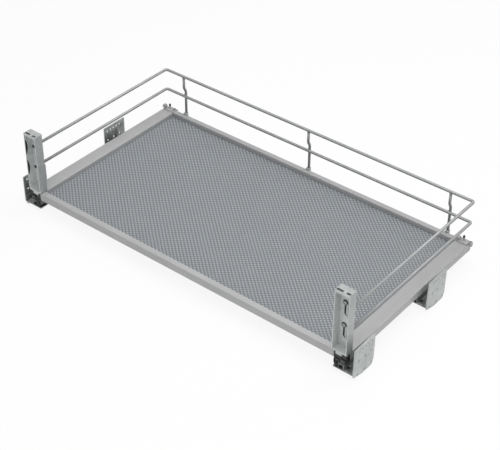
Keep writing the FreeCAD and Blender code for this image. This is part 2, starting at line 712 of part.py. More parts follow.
for word, side in SIDES:
    name = f"{word}_beam"
    body = new_body(name)
    profile = new_sketch(body, name + "_profile", "XZ_Plane", "-side_beam_front")
    hollow_profile(profile, side, "side_beam_inner", "post_outer")
    blank = pad(body, profile, "cap_front - side_beam_front", back=True)
    soften(body, blank, "beam_round", beam_edges("post_outer", "y"))
    holes = new_sketch(body, name + "_holes", "XY_Plane", "beam_base - overcut")
    for y in beam_rivet_places():
        ring(holes, mirrored(side, "slide_outer - beam_rivet_line"), y, "beam_rivet_radius + rivet_play")
    pocket(body, holes, "beam_wall + 2 * overcut", back=True)
    node(body, name)


def cross_beam(name, sign, inner, outer, length):
    body = new_body(name)
    profile = new_sketch(body, name + "_profile", "YZ_Plane")
    hollow_profile(profile, sign, f"{sign} * ({inner})", f"{sign} * ({outer})")
    blank = pad(body, profile, length, middle=True)
    soften(body, blank, "beam_round", beam_edges(outer, "x"))
    return body


# The ledges of the cross beams stop short of the ledges of the side beams
front_profile = cross_beam("front_beam_blank", -1, "front_beam_back", "front_beam_front", "2 * front_beam_end")
rear_profile = cross_beam("rear_beam_blank", 1, "rear_beam_front", "rear_beam_back", "2 * side_beam_inner")
ledge_trims = {}
for word, inner_face, away in (("front", "front_beam_back", 1), ("rear", "rear_beam_front", -1)):
    ends = []
    reach = (inner_face, f"{inner_face} + ledge_width + overcut")
    if away < 0:
        reach = (f"{inner_face} - ledge_width - overcut", inner_face)
    for side_word, side in SIDES:
        ends.append(box(f"{word}_trim_{side_word}", across(side, "side_beam_inner - ledge_width", "post_outer"),
                        reach, ("beam_base - overcut", "beam_top + overcut")))
    ledge_trims[word] = fuse(f"{word}_trim", ends)
node(cut("front_beam_cut", front_profile, ledge_trims["front"]), "front_beam")
node(cut("rear_beam_cut", rear_profile, ledge_trims["rear"]), "rear_beam")


# Base panel and mat, lying inside the frame

def sheet_piece(name, label, low, high):
    edge = "side_beam_inner - mat_gap"
    return node(box(name, (f"-({edge})", edge), ("front_beam_back + mat_gap", "rear_beam_front - mat_gap"),
                    (low, high)), label)


sheet_piece("panel_sheet", "base_panel", "panel_base", "mat_base")
sheet_piece("mat_sheet", "anti_slip_mat", "mat_base", "mat_top")


# Rear corner caps: one part for both ends, so the lug is at the left of each and the screw boss at its right

cap_screws = []
catch_pins = []
for word, side in SIDES:
    inner = "side_beam_inner"
    if side == LEFT:
        lug_start = "-(post_outer + lug_reach)"
        boss_line = f"-({inner} + boss_inset)"
    else:
        lug_start = inner
        boss_line = "post_outer"
    core = box(f"cap_core_{word}", across(side, inner, "post_outer - cap_round"), ("cap_front", "cap_back"),
               ("beam_base", "beam_top"))
    cheek = box(f"cap_cheek_{word}", across(side, inner, "post_outer"), ("cap_front", "cap_back - cap_round"),
                ("beam_base", "beam_top"))
    corner = rod(f"cap_corner_{word}", "cap_round", "z", "beam_base", "beam_height",
                 mirrored(side, "post_outer - cap_round"), "cap_back - cap_round")
    lug = box(f"cap_lug_{word}", (lug_start, f"{lug_start} + lug_width"),
              ("cap_front + lug_setback", "cap_front + lug_setback + lug_length"),
              ("beam_top", "beam_top + lug_height"))
    boss = rod(f"cap_boss_{word}", "boss_radius", "z", "beam_top - boss_drop", "boss_drop + boss_height",
               boss_line, "cap_front + boss_setback")
    node(fuse(f"cap_{word}", [core, cheek, corner, lug, boss]), f"rear_cap_{word}")
    cap_screws.append(rod(f"cap_screw_{word}", "cap_screw_radius", "z", "beam_top + boss_height", "cap_screw_height",
                          boss_line, "cap_front + boss_setback"))
    pin_line = mirrored(side, "post_outer - pin_inset")
    catch_pins.append(rod(f"catch_pin_{word}", "pin_radius", "z", "beam_top", "pin_height",
                          f"{pin_line} - pin_shift", "cap_back - pin_setback"))
node(group("cap_screws_set", cap_screws), "cap_screws")
node(group("catch_pins_set", catch_pins), "catch_pins")


# Front corner brackets: a plate under each post, a web behind the front beam and a small tab

for word, side in SIDES:
    whole = across(side, "side_beam_inner", "post_outer")
    plate = box(f"corner_plate_{word}", whole, ("front + corner_inset", "corner_back"), ("beam_top", "post_base"))
    web = box(f"corner_web_{word}", whole, ("front_beam_back", "corner_back"), ("beam_base", "beam_top"))
    tab = box(f"corner_tab_{word}", across(side, "post_outer - tab_offset - tab_width", "post_outer - tab_offset"),
              ("front + corner_inset", "front + corner_inset + tab_thickness"),
              ("beam_top - tab_height", "beam_top"))
    depth = ("front_beam_front + beam_wall + tongue_gap", "front_beam_back - beam_wall - tongue_gap")
    root = box(f"corner_root_{word}", across(side, "front_beam_end", "post_outer"), depth,
               ("clip_top + clip_gap", "beam_top"))
    tongue = box(f"corner_tongue_{word}", across(side, "front_beam_end - tongue_length", "post_outer"), depth,
                 ("clip_top + clip_gap", "beam_top - beam_wall - tongue_gap"))
    node(fuse(f"corner_{word}", [plate, web, tab, root, tongue]), f"corner_bracket_{word}")


# Posts: folded sheet channels, open to the front, with slots in the back

SLOT_TOPS = ["upper_slot_top", "lower_slot_top"]
COVER_SLOTS = [("cover_slot_left", "cover_slot_long"), ("cover_slot_right", "cover_slot_short")]
RAIL_LEVELS = [("top", "top_rail_level"), ("lower", "lower_rail_level")]


def post(word, side):
    name = f"{word}_post"
    body = new_body(name)
    skin = "post_sheet"
    left_edge = "post_inner" if side == RIGHT else "-post_outer"
    block = new_sketch(body, name + "_block", "XY_Plane", "post_base")
    rectangle(block, across(side, "post_inner", "post_outer"), ("front", "post_back"))
    blank = pad(body, block, "post_height")
    top, rear = value("post_top"), value("post_back")
    soften(body, blank, "post_round", lambda edge: same(edge.ZMin, top) or (
        same(edge.YMin, rear) and same(edge.XLength, 0)))
    hollow = new_sketch(body, name + "_hollow", "XZ_Plane", "-front")
    inside = across(side, f"post_inner + {skin}", f"post_outer - {skin}")
    rectangle(hollow, inside, (f"post_base + {skin}", "post_top - post_lip"))
    pocket(body, hollow, f"post_depth - {skin}")
    behind_lip = new_sketch(body, name + "_behind_lip", "XZ_Plane", f"-(front + {skin})")
    rectangle(behind_lip, inside, ("post_top - post_lip - overcut", f"post_top - {skin}"))
    pocket(body, behind_lip, f"post_depth - 2 * {skin}")
    cover = new_sketch(body, name + "_cover_slots", "XY_Plane", "post_top")
    for start, length in COVER_SLOTS:
        rectangle(cover, (f"{left_edge} + {start}", f"{left_edge} + {start} + {length}"),
                  (f"front + {skin}", f"front + {skin} + cover_slot_width"))
    pocket(body, cover, f"{skin} + overcut")
    web = new_sketch(body, name + "_web", "XZ_Plane", "-(web_front - overcut)")
    half = "slot_width / 2"
    for top in SLOT_TOPS:
        low = f"{top} - slot_length"
        corners = [
            (f"slot_centre - {half}", top), (f"slot_centre + {half}", top), (f"slot_centre + {half}", low),
            (f"slot_centre + {half} + slot_foot", f"{low} - slot_foot"),
            (f"slot_centre - {half} + slot_foot", f"{low} - slot_foot"), (f"slot_centre - {half}", low),
        ]
        outline(web, [(mirrored(side, x), z) for x, z in corners])
    for rail, level in RAIL_LEVELS:
        ring(web, mirrored(side, "rail_side"), level, "rail_screw_radius + screw_play")
        ring(web, mirrored(side, "rail_side"), f"{level} - small_hole_drop", "small_hole_radius")
    pocket(body, web, f"{skin} + 2 * overcut")
    return node(body, name)


def post_fittings(word, side):
    """Slot screws with their washers, sliders, rail screws, curved buffers and top tabs of one post."""
    screws = []
    sliders = []
    rail_screws = []
    buffers = []
    x = mirrored(side, "slot_centre")
    for i, top in enumerate(SLOT_TOPS):
        z = f"{top} - slot_width / 2"
        key = f"{word}_{i}"
        washer = rod(f"washer_{key}", "washer_radius", "y", "web_front - washer_thickness", "washer_thickness", x, z)
        head = rod(f"slot_head_{key}", "slot_screw_head", "y",
                   "web_front - washer_thickness - slot_screw_height", "slot_screw_height", x, z)
        shank = rod(f"slot_shank_{key}", "slot_screw_shank", "y", "web_front - washer_thickness",
                    "washer_thickness + post_sheet", x, z)
        screws.append(fuse(f"slot_screw_{key}", [washer, head, shank]))
        spare = "slot_width / 2 + slider_margin"
        sliders.append(box(f"slider_{key}",
                           across(side, f"slot_centre - ({spare})", f"slot_centre + slot_foot + {spare}"),
                           ("post_back", "post_back + slider_thickness"),
                           (f"{top} - slot_length - slot_foot - slider_margin", f"{top} + slider_margin")))
    for rail, level in RAIL_LEVELS:
        key = f"{word}_{rail}"
        x_rail = mirrored(side, "rail_side")
        head = rod(f"rail_head_{key}", "rail_screw_head", "y", "web_front - rail_screw_depth", "rail_screw_depth",
                   x_rail, level)
        shank = rod(f"rail_shank_{key}", "rail_screw_radius", "y", "web_front",
                    "post_sheet + rail_bore - rail_screw_spare", x_rail, level)
        rail_screws.append(fuse(f"rail_screw_{key}", [head, shank]))
    arc = "((buffer_length / 2) ^ 2 + buffer_bulge ^ 2) / (2 * buffer_bulge)"
    inner_face = "post_outer - post_sheet - buffer_thickness"
    for rail, level in RAIL_LEVELS:
        key = f"{word}_{rail}"
        z = f"{level} + rail_diameter"
        start = inner_face if side == RIGHT else "-(post_outer - post_sheet)"
        disc = rod(f"buffer_disc_{key}", arc, "x", start, "buffer_thickness",
                   f"front + buffer_front + buffer_bulge - {arc}", z)
        slab = box(f"buffer_slab_{key}", across(side, f"{inner_face} - overcut", "post_outer"),
                   ("front + buffer_front", "front + buffer_front + buffer_bulge + overcut"),
                   (f"{z} - buffer_length", f"{z} + buffer_length"))
        common = doc.addObject("Part::Common", f"buffer_{key}")
        common.Base = disc
        common.Tool = slab
        buffers.append(common)
    left_edge = "post_inner" if side == RIGHT else "-post_outer"
    tabs = []
    for start, length in COVER_SLOTS:
        tabs.append(box(f"tab_{word}_{start}", (f"{left_edge} + {start}", f"{left_edge} + {start} + {length}"),
                        ("front + post_sheet", "front + post_sheet + cover_slot_width"),
                        ("post_top - cover_tab_drop", "post_top")))
    return screws, sliders, rail_screws, buffers, tabs


fittings = [[], [], [], [], []]
for word, side in SIDES:
    post(word, side)
    for kept, made in zip(fittings, post_fittings(word, side)):
        kept.extend(made)
for label, made in zip(("slot_screws", "slot_sliders", "rail_screws", "post_buffers", "cover_tabs"), fittings):
    node(group(label + "_set", made), label)


# Rails: one round bar each, bent round the left side, the back and the right side

def rail(name, level):
    body = new_body(name)
    path = new_sketch(body, name + "_path", "XY_Plane", level)
    side, rear, bend = value("rail_side"), value("rail_rear"), value("rail_bend")
    start = value("post_back")
    corners = [
        (-side, start, "-rail_side", "post_back"),
        (-side, rear - bend, "-rail_side", "rail_rear - rail_bend"),
        (-side + bend, rear, "-rail_side + rail_bend", "rail_rear"),
        (side - bend, rear, "rail_side - rail_bend", "rail_rear"),
        (side, rear - bend, "rail_side", "rail_rear - rail_bend"),
        (side, start, "rail_side", "post_back"),
    ]
    points = [V(x, y, 0) for x, y, x_text, y_text in corners]
    for first in (0, 2, 4):
        line = path.addGeometry(Part.LineSegment(points[first], points[first + 1]), False)
        for end in (0, 1):
            pin_point(path, line, end + 1, corners[first + end][2], corners[first + end][3])
    quarter = math.pi / 2
    for middle, turn, before, after in ((V(-side + bend, rear - bend, 0), quarter, 0, 1),
                                        (V(side - bend, rear - bend, 0), 0, 1, 2)):
        arc = path.addGeometry(Part.ArcOfCircle(Part.Circle(middle, V(0, 0, 1), bend), turn, turn + quarter), False)
        path.addConstraint(Sketcher.Constraint("Coincident", arc, 2, before, 2))
        path.addConstraint(Sketcher.Constraint("Coincident", arc, 1, after, 1))
        number = path.addConstraint(Sketcher.Constraint("Radius", arc, bend))
        bind(path, f"Constraints[{number}]", "rail_bend")
    section = new_sketch(body, name + "_section", "XZ_Plane", "-post_back")
    ring(section, "-rail_side", level, "rail_diameter / 2")
    doc.recompute()
    pipe = body.newObject("PartDesign::AdditivePipe", name + "_pipe")
    pipe.Profile = section
    pipe.Spine = (path, [])
    body.Tip = pipe
    bores = new_sketch(body, name + "_bores", "XZ_Plane", "-post_back")
    for side_word, side_sign in SIDES:
        ring(bores, mirrored(side_sign, "rail_side"), level, "rail_screw_radius + screw_play")
    pocket(body, bores, "rail_bore")
    return node(body, name)


for word, level in RAIL_LEVELS:
    rail(f"{word}_rail", level)


# Struts: upright wires that jog back to pass behind the lower rail, and their foot clips

def strut(name, x):
    body = new_body(name + "_wire")
    path = new_sketch(body, name + "_path", "YZ_Plane", x)
    top = ("rail_rear", "top_rail_level - rail_diameter / 4")
    bend = ("rail_rear", "jog_top")
    middle = ("(rail_rear + strut_rear) / 2", "jog_top - jog_drop / 2")
    straight = ("strut_rear", "jog_top - jog_drop")
    foot = ("strut_rear", "beam_top + foot_height")
    for near, far in ((top, bend), (straight, foot)):
        ends = [V(value(y), value(z), 0) for y, z in (near, far)]
        line = path.addGeometry(Part.LineSegment(*ends), False)
        pin_point(path, line, 1, *near)
        pin_point(path, line, 2, *far)
    radius = value("jog_radius")
    turn = math.asin(value("jog_drop") / 2 / radius)
    for centre, start, first in (((value(bend[0]) + radius, value(bend[1])), math.pi, bend),
                                 ((value(straight[0]) - radius, value(straight[1])), 0, straight)):
        circle = Part.Circle(V(*centre, 0), V(0, 0, 1), radius)
        arc = path.addGeometry(Part.ArcOfCircle(circle, start, start + turn), False)
        pin_point(path, arc, 1, *first)
        pin_point(path, arc, 2, *middle)
        number = path.addConstraint(Sketcher.Constraint("Radius", arc, radius))
        bind(path, f"Constraints[{number}]", "jog_radius")
    section = new_sketch(body, name + "_section", "XY_Plane", top[1])
    ring(section, x, "rail_rear", "strut_diameter / 2")
    doc.recompute()
    pipe = body.newObject("PartDesign::AdditivePipe", name + "_pipe")
    pipe.Profile = section
    pipe.Spine = (path, [])
    body.Tip = pipe
    saddle = rod(name + "_saddle", "rail_diameter / 2", "x", f"{x} - strut_diameter", "2 * strut_diameter",
                 "rail_rear", "top_rail_level")
    return node(cut(name + "_coped", body, saddle), name)


clips = []
for word, x in (("left", "-strut_spread"), ("middle", "0"), ("right", "strut_spread")):
    strut(f"{word}_strut", x)
    width = (f"{x} - foot_width / 2", f"{x} + foot_width / 2")
    saddle = box(f"foot_saddle_{word}", width, ("rear_beam_back - foot_cover", "back"),
                 ("beam_top", "beam_top + foot_height"))
    hook = box(f"foot_hook_{word}", width, ("rear_beam_back", "back"), ("beam_top - foot_hook", "beam_top"))
    clips.append(fuse(f"foot_{word}", [saddle, hook]))
node(group("strut_feet_set", clips), "strut_feet")


# Locking clips under the front corners, each with a release lever on a pivot

for word, side in SIDES:
    outer_block = box(f"clip_block_{word}", across(side, "clip_inner", "clip_outer"),
                      ("clip_front", "front_beam_back"), ("clip_base", "clip_top"))
    upper_block = box(f"clip_upper_{word}", across(side, "front_beam_end + clip_gap", "clip_outer"),
                      ("clip_front", "front_beam_back"), ("beam_base + clip_gap", "clip_top"))
    body_block = fuse(f"clip_body_{word}", [outer_block, upper_block])
    room = "lever_width / 2 + lever_play"
    pocket_box = box(f"clip_pocket_{word}", across(side, f"clip_middle - ({room})", f"clip_middle + {room}"),
                     ("clip_front - overcut", "clip_front + pocket_depth"),
                     ("pocket_low", "pocket_low + pocket_height"))
    reach = f"lever_width / 2 + lever_play + lever_pin_reach"
    span = across(side, f"clip_middle - ({reach})", f"clip_middle + {reach}")
    pivot_hole = rod(f"clip_pivot_{word}", "lever_pin + pivot_play", "x", span[0], f"2 * ({reach})",
                     "pivot_line", "pivot_level")
    hollow = fuse(f"clip_hollow_{word}", [pocket_box, pivot_hole])
    node(cut(f"clip_{word}", body_block, hollow), f"locking_clip_{word}")
    wide = across(side, "clip_middle - lever_width / 2", "clip_middle + lever_width / 2")
    pin_reach = f"({reach}) - pivot_play"
    pin_span = across(side, f"clip_middle - ({pin_reach})", f"clip_middle + ({pin_reach})")
    barrel = rod(f"lever_barrel_{word}", "lever_barrel", "x", wide[0], "lever_width", "pivot_line", "pivot_level")
    pin = rod(f"lever_pin_{word}", "lever_pin", "x", pin_span[0], f"2 * ({pin_reach})",
              "pivot_line", "pivot_level")
    face = "clip_front - paddle_gap"
    neck = box(f"lever_neck_{word}", wide, (f"{face} - paddle_thickness", "pivot_line"),
               ("pivot_level - neck_height / 2", "pivot_level + neck_height / 2"))
    paddle = box(f"lever_paddle_{word}", wide, (f"{face} - paddle_thickness", face),
                 ("pivot_level + neck_height / 2 - paddle_height", "pivot_level + neck_height / 2"))
    node(fuse(f"lever_{word}", [barrel, pin, neck, paddle]), f"release_lever_{word}")


# Check every object, then write one file for each sub-part

doc.recompute()
for item in doc.Objects:
    if "Invalid" in item.State or "Error" in item.State:
        raise RuntimeError(f"{item.Name} failed: {item.State}")
os.makedirs("parts", exist_ok=True)
for item in nodes:
    shape = item.Shape
    if shape.isNull() or not shape.isValid() or not shape.Solids:
        raise RuntimeError(f"{item.Label} has no valid shape")
for item in nodes:
    item.Shape.exportStep(f"parts/{item.Label}.step")
box_all = nodes[0].Shape.BoundBox
for item in nodes[1:]:
    box_all.add(item.Shape.BoundBox)
print(len(nodes), "nodes, box", [round(v, 2) for v in (box_all.XMin, box_all.XMax, box_all.YMin, box_all.YMax,
                                                       box_all.ZMin, box_all.ZMax)])
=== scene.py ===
import json
import math
import bmesh
import bpy
from mathutils import Matrix, Vector


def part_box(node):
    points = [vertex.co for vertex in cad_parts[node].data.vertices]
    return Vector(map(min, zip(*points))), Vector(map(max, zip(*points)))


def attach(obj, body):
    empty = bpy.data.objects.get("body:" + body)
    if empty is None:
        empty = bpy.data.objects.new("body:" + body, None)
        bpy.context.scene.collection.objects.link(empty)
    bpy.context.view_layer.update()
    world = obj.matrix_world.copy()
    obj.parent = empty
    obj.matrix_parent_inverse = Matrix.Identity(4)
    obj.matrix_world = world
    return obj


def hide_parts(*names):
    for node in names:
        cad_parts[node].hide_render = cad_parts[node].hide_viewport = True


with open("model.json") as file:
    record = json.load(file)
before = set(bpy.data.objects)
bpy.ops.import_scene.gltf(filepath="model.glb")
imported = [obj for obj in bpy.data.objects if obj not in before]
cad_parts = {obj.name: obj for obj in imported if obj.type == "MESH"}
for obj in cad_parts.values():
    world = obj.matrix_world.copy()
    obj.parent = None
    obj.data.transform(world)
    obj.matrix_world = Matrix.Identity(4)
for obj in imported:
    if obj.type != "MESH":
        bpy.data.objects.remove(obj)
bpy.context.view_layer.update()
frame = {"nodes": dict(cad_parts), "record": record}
NODES = frame["nodes"]
RECORD = frame["record"]
BODY_OF = {node: body for body, nodes in RECORD["behaviour"]["bodies"].items() for node in nodes}
SLOT_OF = {entry["node"]: entry["material_slot"] for entry in RECORD["subparts"]}

MM = 0.001
LEFT, RIGHT = -1, 1
SIDES = (("left", LEFT), ("right", RIGHT))
FORWARD, UP, DOWN = (0, -1, 0), (0, 0, 1), (0, 0, -1)


# Sizes in metres

SAME_POINT = 1e-6

# Beads of the mat, on a lattice whose rows run along both diagonals
BEAD_RISE = 0.9 * MM
BEAD_RADIUS = 2.75 * MM
BEAD_PITCH_X = 10.09 * MM
BEAD_PITCH_Y = 8.88 * MM
BEAD_SIDES = 10
BEAD_CUT = 0.3 * MM
BEAD_RINGS = ((1.0, 0.0), (0.82, 0.55), (0.45, 0.9))

# Posts, with the screws and sliders in their slots
POST_SHEET = 1.5 * MM
LIP_DEPTH = 8 * MM
SLOT_WIDTH = 4 * MM
SLOT_FOOT = 4 * MM
SLOT_PLAY = 0.15 * MM
SLIDER_MARGIN = 3 * MM
FILLER_SINK = 0.25 * MM
SCREW_RADIUS = 4 * MM
SCREW_RISE = 2.6 * MM
WASHER_THICKNESS = 1 * MM
SHANK_RADIUS = 1.45 * MM
HEAD_DEPTH = 2.5 * MM

# Rear caps
CAP_WALL = 2.6 * MM
CAP_SEAM = 1.9 * MM
CAP_ROUND = 8 * MM
CAP_EDGE = 0.4 * MM
CAP_GAP = 0.1 * MM
SEAM_DEPTH = 4 * MM
LUG_WIDTH = 7 * MM
LUG_LENGTH = 9 * MM
LUG_SETBACK = 5 * MM
LUG_REACH = 5 * MM
LUG_SINK = 0.2 * MM
BOSS_RADIUS = 4.3 * MM
BOSS_HEIGHT = 3 * MM
BOSS_DROP = 6 * MM
BOSS_INSET = 4.5 * MM
BOSS_SETBACK = 11.5 * MM

# Widths in millimetres of the rounding along sharp edges
EDGE_WIDTHS = (
    (0.35, ("front_left_plate", "front_right_plate", "rear_left_plate", "rear_right_plate")),
    (0.5, ("corner_bracket_left", "corner_bracket_right")),
    (0.25, ("left_post", "right_post")),
    (0.7, ("strut_feet",)),
    (0.5, ("locking_clip_left", "locking_clip_right")),
    (0.3, ("release_lever_left", "release_lever_right")),
    (0.4, ("slide_end_caps",)),
    (0.25, ("slide_front_plugs",)),
    (0.4, ("slot_sliders",)),
    (0.3, ("post_buffers",)),
    (0.3, ("front_left_arm", "front_right_arm", "rear_left_arm", "rear_right_arm")),
    (0.2, ("cover_tabs", "arm_plugs")),
    (0.25, ("cabinet_member_left", "cabinet_member_right", "middle_member_left", "middle_member_right",
            "drawer_member_left", "drawer_member_right")),
    (0.5, ("base_panel",)),
)
ROUND_NODES = ("top_rail", "lower_rail", "left_strut", "middle_strut", "right_strut", "beam_rivets", "slide_rivets")


# Materials

def new_material(name):
    mat = bpy.data.materials.new(name)
    mat.use_nodes = True
    tree = mat.node_tree
    return mat, tree, tree.nodes["Principled BSDF"]


def coordinates(tree, stretch=(1, 1, 1)):
    """The object's own coordinates, stretched for grain that runs one way."""
    source = tree.nodes.new("ShaderNodeTexCoord")
    mapping = tree.nodes.new("ShaderNodeMapping")
    mapping.inputs["Scale"].default_value = stretch
    tree.links.new(source.outputs["Object"], mapping.inputs["Vector"])
    return mapping.outputs["Vector"]


def noise(tree, vector, scale, detail, rough=0.55):
    node = tree.nodes.new("ShaderNodeTexNoise")
    node.inputs["Scale"].default_value = scale
    node.inputs["Detail"].default_value = detail
    node.inputs["Roughness"].default_value = rough
    tree.links.new(vector, node.inputs["Vector"])
    return node.outputs["Fac"]


def spread(tree, value, low, high, start=0.3, end=0.7):
    """Map a value from one range to another."""
    node = tree.nodes.new("ShaderNodeMapRange")
    node.inputs["From Min"].default_value = start
    node.inputs["From Max"].default_value = end
    node.inputs["To Min"].default_value = low
    node.inputs["To Max"].default_value = high
    tree.links.new(value, node.inputs["Value"])
    return node.outputs["Result"]


def tint(tree, value, dark, light, start=0.3, end=0.7):
    """A colour between two, by a value."""
    ramp = tree.nodes.new("ShaderNodeValToRGB")
    for stop, place, colour in zip(ramp.color_ramp.elements, (start, end), (dark, light)):
        stop.position = place
        stop.color = (*colour, 1)
    tree.links.new(value, ramp.inputs["Fac"])
    return ramp.outputs["Color"]


def multiplied(tree, first, second):
    """The product of two colours."""
    mix = tree.nodes.new("ShaderNodeMix")
    mix.data_type = "RGBA"
    mix.blend_type = "MULTIPLY"
    mix.inputs["Factor"].default_value = 1.0
    tree.links.new(first, mix.inputs["A"])
    tree.links.new(second, mix.inputs["B"])
    return mix.outputs["Result"]


def bump(tree, height, strength, distance):
    node = tree.nodes.new("ShaderNodeBump")
    node.inputs["Strength"].default_value = strength
    node.inputs["Distance"].default_value = distance
    tree.links.new(height, node.inputs["Height"])
    return node.outputs["Normal"]


def crystals(tree, vector, scale):
    """The pale and dull cells of a zinc coat."""
    voronoi = tree.nodes.new("ShaderNodeTexVoronoi")
    voronoi.inputs["Scale"].default_value = scale
    tree.links.new(vector, voronoi.inputs["Vector"])
    grey = tree.nodes.new("ShaderNodeRGBToBW")
    tree.links.new(voronoi.outputs["Color"], grey.inputs["Color"])
    return tint(tree, grey.outputs["Val"], (0.88, 0.88, 0.88), (1.0, 1.0, 1.0), 0.2, 0.8)


def surface(name, dark, light, metallic, rough, patches, grain, depth, stretch=(1, 1, 1), cells=0.0, coat=0.0):
    """Cloudy colour, uneven gloss and a fine grain, with crystal cells where asked for."""
    mat, tree, shader = new_material(name)
    shader.inputs["Metallic"].default_value = metallic
    plain = coordinates(tree)
    grained = coordinates(tree, stretch)
    colour = tint(tree, noise(tree, plain, patches, 4.0), dark, light)
    if cells:
        colour = multiplied(tree, colour, crystals(tree, plain, cells))
    tree.links.new(colour, shader.inputs["Base Color"])
    smear = noise(tree, grained, patches * 2.5, 5.0)
    tree.links.new(spread(tree, smear, *rough), shader.inputs["Roughness"])
    fine = noise(tree, grained, grain, 2.0)
    tree.links.new(bump(tree, fine, 0.35, depth), shader.inputs["Normal"])
    if coat:
        shader.inputs["Coat Weight"].default_value = coat
        shader.inputs["Coat Roughness"].default_value = 0.25
    return mat


def mat_rubber():
    """Grey rubber, with painted shade between the beads and painted light on their crowns."""
    mat, tree, shader = new_material("mat_rubber")
    place = coordinates(tree)
    parts = tree.nodes.new("ShaderNodeSeparateXYZ")
    tree.links.new(place, parts.inputs["Vector"])
    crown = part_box("anti_slip_mat")[1][2]
    # The colour by height is painted light: dark for shade on the sheet and at the foot of each bead, pale on the
    # crowns.
    height = spread(tree, parts.outputs["Z"], 0.0, 1.0, crown - BEAD_RISE, crown)
    bead = tint(tree, height, (0.195, 0.21, 0.221), (0.425, 0.447, 0.463), 0.05, 0.95)
    dust = noise(tree, place, 38.0, 5.0)
    dust_tone = tint(tree, dust, (0.93, 0.93, 0.94), (1.0, 1.0, 1.0))
    tree.links.new(multiplied(tree, bead, dust_tone), shader.inputs["Base Color"])
    tree.links.new(spread(tree, dust, 0.5, 0.66), shader.inputs["Roughness"])
    fine = noise(tree, place, 2600.0, 2.0)
    tree.links.new(bump(tree, fine, 0.3, 0.06 * MM), shader.inputs["Normal"])
    return mat


def laminate_board():
    """Thin board with a speckled grey laminate."""
    mat, tree, shader = new_material("laminate_board")
    place = coordinates(tree)
    speck = noise(tree, place, 520.0, 6.0, 0.7)
    colour = tint(tree, speck, (0.36, 0.36, 0.35), (0.46, 0.46, 0.45), 0.35, 0.65)
    tree.links.new(colour, shader.inputs["Base Color"])
    tree.links.new(spread(tree, noise(tree, place, 25.0, 4.0), 0.45, 0.6), shader.inputs["Roughness"])
    tree.links.new(bump(tree, speck, 0.25, 0.08 * MM), shader.inputs["Normal"])
    return mat


FINISHES = {
    "zinc_sheet": dict(
        dark=(0.43, 0.452, 0.447), light=(0.53, 0.552, 0.547), metallic=0.8, rough=(0.34, 0.48),
        patches=22.0, grain=900.0, depth=0.08 * MM, cells=170.0),
    "post_steel": dict(
        dark=(0.43, 0.452, 0.447), light=(0.50, 0.522, 0.517), metallic=0.1, rough=(0.34, 0.46),
        patches=16.0, grain=1300.0, depth=0.06 * MM, stretch=(1, 1, 0.12), cells=210.0),
    # A paler copy of the post zinc: painted light for the inside of the post channels and their cut front edges.
    "post_painted_light": dict(
        dark=(0.64, 0.668, 0.66), light=(0.72, 0.748, 0.74), metallic=0.1, rough=(0.34, 0.46),
        patches=16.0, grain=1300.0, depth=0.06 * MM, stretch=(1, 1, 0.12), cells=210.0),
    # Zinc darkened to paint in the shade that falls on the slide arms; the rear cap screw heads share it.
    "zinc_painted_shade": dict(
        dark=(0.2, 0.21, 0.207), light=(0.27, 0.28, 0.277), metallic=0.5, rough=(0.38, 0.5),
        patches=22.0, grain=900.0, depth=0.08 * MM, cells=170.0),
    "painted_frame": dict(
        dark=(0.415, 0.415, 0.42), light=(0.455, 0.455, 0.46), metallic=0.1, rough=(0.42, 0.54),
        patches=7.0, grain=1500.0, depth=0.07 * MM, coat=0.05),
    "painted_wire": dict(
        dark=(0.285, 0.288, 0.29), light=(0.325, 0.328, 0.33), metallic=1.0, rough=(0.54, 0.62),
        patches=18.0, grain=1600.0, depth=0.04 * MM),
    "grey_cap": dict(
        dark=(0.40, 0.40, 0.405), light=(0.45, 0.45, 0.455), metallic=0.0, rough=(0.44, 0.56),
        patches=30.0, grain=2200.0, depth=0.08 * MM),
    # Slide steel is drawn nearly black: partly the slides' own dark finish, partly painted shade for the shadow
    # inside their channels.
    "slide_steel": dict(
        dark=(0.09, 0.092, 0.095), light=(0.14, 0.143, 0.147), metallic=0.8, rough=(0.3, 0.46),
        patches=12.0, grain=1800.0, depth=0.05 * MM, stretch=(1, 0.04, 1)),
    "cage_plastic": dict(
        dark=(0.02, 0.02, 0.022), light=(0.035, 0.035, 0.038), metallic=0.0, rough=(0.38, 0.52),
        patches=60.0, grain=2400.0, depth=0.06 * MM),
    "ball_steel": dict(
        dark=(0.66, 0.66, 0.67), light=(0.74, 0.74, 0.75), metallic=1.0, rough=(0.08, 0.14),
        patches=90.0, grain=3000.0, depth=0.02 * MM),
    "fastener": dict(
        dark=(0.34, 0.345, 0.35), light=(0.46, 0.465, 0.47), metallic=0.9, rough=(0.28, 0.46),
        patches=140.0, grain=2600.0, depth=0.06 * MM),
    "dark_steel": dict(
        dark=(0.075, 0.077, 0.08), light=(0.13, 0.133, 0.137), metallic=0.6, rough=(0.34, 0.5),
        patches=140.0, grain=2600.0, depth=0.06 * MM),
    "black_plastic": dict(
        dark=(0.008, 0.008, 0.009), light=(0.018, 0.018, 0.02), metallic=0.0, rough=(0.42, 0.56),
        patches=80.0, grain=2800.0, depth=0.08 * MM),
    "lever_plastic": dict(
        dark=(0.03, 0.03, 0.033), light=(0.05, 0.05, 0.054), metallic=0.0, rough=(0.4, 0.54),
        patches=80.0, grain=2800.0, depth=0.08 * MM),
    "pale_plastic": dict(
        dark=(0.36, 0.38, 0.375), light=(0.43, 0.45, 0.445), metallic=0.0, rough=(0.4, 0.52),
        patches=80.0, grain=2400.0, depth=0.07 * MM),
}
LOOKS = {name: surface(name, **finish) for name, finish in FINISHES.items()}
LOOKS["mat"] = mat_rubber()
LOOKS["panel_board"] = laminate_board()
for node_name, item in NODES.items():
    for place in item.material_slots:
        place.material = LOOKS[SLOT_OF[node_name]]


# Making pieces

